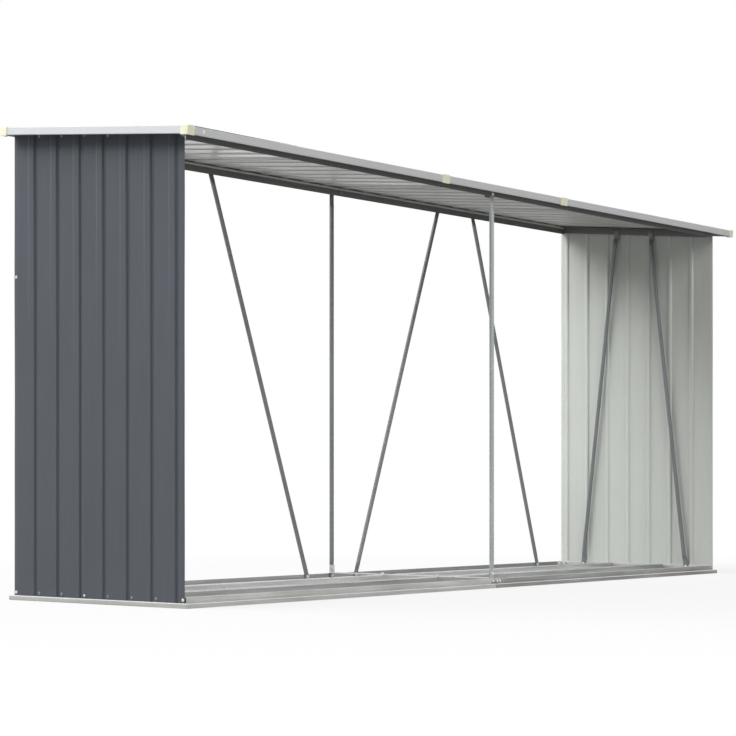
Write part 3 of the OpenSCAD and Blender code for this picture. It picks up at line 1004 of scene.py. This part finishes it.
def tube_bolts():
    """Bolts through the pressed tube ends and the bar across the floor, and rivets in the heads of the wall
    braces; the rivets take the tubes' darker zinc as painted shade."""
    bm = bmesh.new()
    dull = bmesh.new()
    for side in (-1, 1):
        post = lap_middles(Vector((0, 0, tube_foot)), Vector((0, 0, beam_bottom(side * WALL_Y) + FLAT_LAP)))
        for spot in post:
            bolt(bm, (0, side * WALL_Y, spot.z), (0, side, 0))
            bolt(bm, (0, side * (INNER_Y - FLAT_T), spot.z), (0, -side, 0))
        tab_z = RAIL_H + TAB_BOLT_SHARE * CROSS_TAB_H
        bolt(bm, (0, side * INNER_Y, tab_z), (0, side, 0))
        bolt(bm, (0, side * (INNER_Y - FLAT_T - CROSS_SKIN), tab_z), (0, -side, 0))
        bolt(bm, (0, side * FLOOR_BAR_GAP / 2, RAIL_H + CROSS_SKIN), (0, 0, 1))
    for bay in (-1, 1):
        for side in (-1, 1):
            for spot in lap_middles(*brace_ends(bay, side)):
                bolt(bm, (spot.x, WALL_Y, spot.z), (0, 1, 0))
                bolt(bm, (spot.x, INNER_Y - FLAT_T, spot.z), (0, -1, 0))
            top_y = side * WALL_BRACE_TOP
            wall_foot, wall_head = lap_middles(Vector((0, side * WALL_BRACE_FOOT, tube_foot)),
                                               Vector((0, top_y, beam_bottom(top_y) + FLAT_LAP)))
            bolt(bm, (bay * (INNER_X - FLAT_T), wall_foot.y, wall_foot.z), (-bay, 0, 0))
            screw(dull, (bay * (INNER_X - FLAT_T), wall_head.y, wall_head.z), (-bay, 0, 0))
    piece("tube_bolts", bm, [bolt_and_highlight_zinc])
    piece("wall_brace_rivets", dull, [tube_zinc])


def corner_plate(name, x_side, y_side):
    """Angle plate inside a corner of the base."""
    half = FRAME_T / 2
    line = rounded([(-PLATE_LEG, -half), (-half, -half), (-half, -PLATE_LEG)], BEND_R)

    def place(p, share):
        z = LIP_H + PLATE_LIFT + PLATE_H * share
        return Vector((x_side * (INNER_X + p.x), y_side * (INNER_Y + p.y), z))

    piece(name, strip(line, FRAME_T, place), [plate_and_highlight_zinc, plate_and_highlight_zinc])


def joint_bolts():
    """Bolts of the corner plates and of the joints in the long rails and the back beam."""
    bm = bmesh.new()
    for x_side in (-1, 1):
        for y_side in (-1, 1):
            on_end = (x_side * (INNER_X - FRAME_T), y_side * (INNER_Y - PLATE_BOLT), RAIL_MIDDLE)
            on_long = (x_side * (INNER_X - PLATE_BOLT), y_side * (INNER_Y - FRAME_T), RAIL_MIDDLE)
            bolt(bm, on_end, (-x_side, 0, 0))
            bolt(bm, on_long, (0, -y_side, 0))
    for side in (-1, 1):
        for x in RAIL_BOLTS_X:
            bolt(bm, (-side * x, side * WALL_Y, RAIL_MIDDLE), (0, side, 0))
    piece("joint_bolts", bm, [bolt_and_highlight_zinc])
    leg_y = WALL_Y - BEAM_FLANGE
    # The back beam's bolt takes the tubes' darker zinc: painted shade under the roof.
    dull = bmesh.new()
    bolt(dull, (BEAM_BOLT_X, leg_y, roof_z(leg_y, SHEET_BOTTOM) - BACK_LEG_H / 2), (0, -1, 0))
    piece("back_beam_bolt", dull, [tube_zinc])


def beam_lug():
    """Small lug under the front beam, left of the post."""
    y = FRAME_T / 2 - INNER_Y
    low = beam_bottom(-WALL_Y)
    line = [Vector((y, low - LUG_DROP)), Vector((y, low + LUG_LAP))]

    def place(p, share):
        return Vector((LUG_X + LUG_W * share, p.x, p.y))

    piece("front_beam_lug", strip(line, FRAME_T, place), [beam_paint, beam_paint])


def trim_screws():
    """One screw at the left end of the front trim and one at the right end of the back trim."""
    bm = bmesh.new()
    out = Vector((0, -math.cos(ROOF_A), -math.sin(ROOF_A)))
    screw(bm, on_roof(-TRIM_SCREW_X, CAP_T - ROOF_LEN, -CAP_T - TRIM_H / 2), out)
    screw(bm, on_roof(TRIM_SCREW_X, -CAP_T, -CAP_T - TRIM_H / 2), -out)
    piece("trim_screws", bm, [bolt_and_highlight_zinc])


def trim_bead():
    """Dark bead that runs out along the left part of the front trim's upper edge."""
    bm = bmesh.new()
    start = on_roof(BEAD_START, CAP_T - ROOF_LEN + BEAD_IN, BEAD_UP - CAP_T)
    outline = [(BEAD_R * math.sqrt(1 - share), BEAD_L * share) for share in BEAD_SHARES]
    turned(bm, start, (1, 0, 0), outline, BEAD_SIDES)
    piece("front_trim_bead", bm, [roof_outside])


wall_screws("left_wall_screws", -1)
wall_screws("right_wall_screws", 1)
roof_screws()
tube_bolts()
for x_side, x_name in ((-1, "left"), (1, "right")):
    for y_side, y_name in ((-1, "front"), (1, "back")):
        corner_plate("%s_%s_corner_plate" % (y_name, x_name), x_side, y_side)
joint_bolts()
beam_lug()
trim_screws()
trim_bead()


# Stage, light and camera

def white_stage(tree, output, lit, share):
    """Seen directly or in a reflection, the surface is mostly plain white; other light meets lit."""
    path = add_node(tree, "ShaderNodeLightPath")
    seen = add_node(tree, "ShaderNodeMath", operation="MAXIMUM")
    shown = add_node(tree, "ShaderNodeMath", operation="MAXIMUM")
    level = add_node(tree, "ShaderNodeMath", operation="MULTIPLY")
    tree.links.new(path.outputs["Is Camera Ray"], seen.inputs[0])
    tree.links.new(path.outputs["Is Glossy Ray"], seen.inputs[1])
    tree.links.new(seen.outputs[0], shown.inputs[0])
    tree.links.new(path.outputs["Is Transmission Ray"], shown.inputs[1])
    tree.links.new(shown.outputs[0], level.inputs[0])
    if isinstance(share, float):
        level.inputs[1].default_value = share
    else:
        tree.links.new(share, level.inputs[1])
    white = add_node(tree, "ShaderNodeEmission", Color=(1, 1, 1, 1), Strength=1.0)
    mix = add_node(tree, "ShaderNodeMixShader")
    tree.links.new(level.outputs[0], mix.inputs[0])
    tree.links.new(lit, mix.inputs[1])
    tree.links.new(white.outputs[0], mix.inputs[2])
    tree.links.new(mix.outputs[0], output)


def floor():
    """Plain floor: nearly white to the eye, with the store's shadow, but it returns little light."""
    made = bpy.data.materials.new("floor_white")
    made.use_nodes = True
    tree = made.node_tree
    tree.nodes.clear()
    output = add_node(tree, "ShaderNodeOutputMaterial")
    dull = add_node(tree, "ShaderNodeBsdfDiffuse", Color=(0.28, 0.28, 0.28, 1))
    pale = add_node(tree, "ShaderNodeBsdfDiffuse", Color=(0.7, 0.7, 0.7, 1))
    path = add_node(tree, "ShaderNodeLightPath")
    lit = add_node(tree, "ShaderNodeMixShader")
    tree.links.new(path.outputs["Is Camera Ray"], lit.inputs[0])
    tree.links.new(dull.outputs[0], lit.inputs[1])
    tree.links.new(pale.outputs[0], lit.inputs[2])
    place = add_node(tree, "ShaderNodeTexCoord")
    reach = add_node(tree, "ShaderNodeVectorMath", operation="LENGTH")
    fade = add_node(tree, "ShaderNodeMapRange", interpolation_type="SMOOTHSTEP",
                    From_Min=1.5, From_Max=4.0, To_Min=0.8, To_Max=1.0)
    tree.links.new(place.outputs["Object"], reach.inputs[0])
    tree.links.new(reach.outputs["Value"], fade.inputs["Value"])
    white_stage(tree, output.inputs["Surface"], lit.outputs[0], fade.outputs["Result"])
    mesh = bpy.data.meshes.new("floor")
    turns = ((-1, -1), (1, -1), (1, 1), (-1, 1))
    mesh.from_pydata([(FLOOR_HALF * x, FLOOR_HALF * y, 0) for x, y in turns], [], [(0, 1, 2, 3)])
    mesh.materials.append(made)
    stage = bpy.data.objects.new("floor", mesh)
    bpy.context.scene.collection.objects.link(stage)


def world():
    """Even light from all around; the world itself looks white."""
    made = bpy.data.worlds.new("studio")
    bpy.context.scene.world = made
    made.use_nodes = True
    tree = made.node_tree
    tree.nodes.clear()
    output = add_node(tree, "ShaderNodeOutputWorld")
    lit = add_node(tree, "ShaderNodeBackground", Color=(1, 1, 1, 1), Strength=WORLD_LIGHT)
    white_stage(tree, output.inputs["Surface"], lit.outputs[0], 1.0)


def softbox(name, place, target, size, watts):
    """Wide lamp that lights the store and is not mirrored in its metal."""
    data = bpy.data.lights.new(name, "AREA")
    data.shape = "RECTANGLE"
    data.size = size[0]
    data.size_y = size[1]
    data.energy = watts
    made = bpy.data.objects.new(name, data)
    made.location = place
    made.visible_glossy = False
    made.rotation_euler = (Vector(target) - Vector(place)).to_track_quat("-Z", "Y").to_euler()
    bpy.context.scene.collection.objects.link(made)


def camera():
    """The photograph's view: level, from the front left, with the frame shifted up."""
    picture_w = 736
    focal_px = 2078.2
    horizon_drop_px = 116.1
    data = bpy.data.cameras.new("camera")
    data.sensor_width = 36
    data.lens = focal_px * data.sensor_width / picture_w
    data.shift_y = horizon_drop_px / picture_w
    made = bpy.data.objects.new("camera", data)
    made.location = (-6.1072, -4.6764, 0.3734)
    made.rotation_euler = (math.pi / 2, 0, -0.8948)
    bpy.context.scene.collection.objects.link(made)
    bpy.context.scene.camera = made


floor()
world()
# Lamps have a place, a target, a size and a power in watts
softbox("key_back_left", (-8.4, 8.4, 10.6), STORE_MIDDLE, (24, 6), 3950)
softbox("fill_front_left", (-2.6, -10.2, 6.2), STORE_MIDDLE, (6, 5), 600)
softbox("fill_right", (10.5, 2.5, 4.8), STORE_MIDDLE, (6, 5), 380)
camera()
bpy.context.scene.view_settings.view_transform = "Standard"
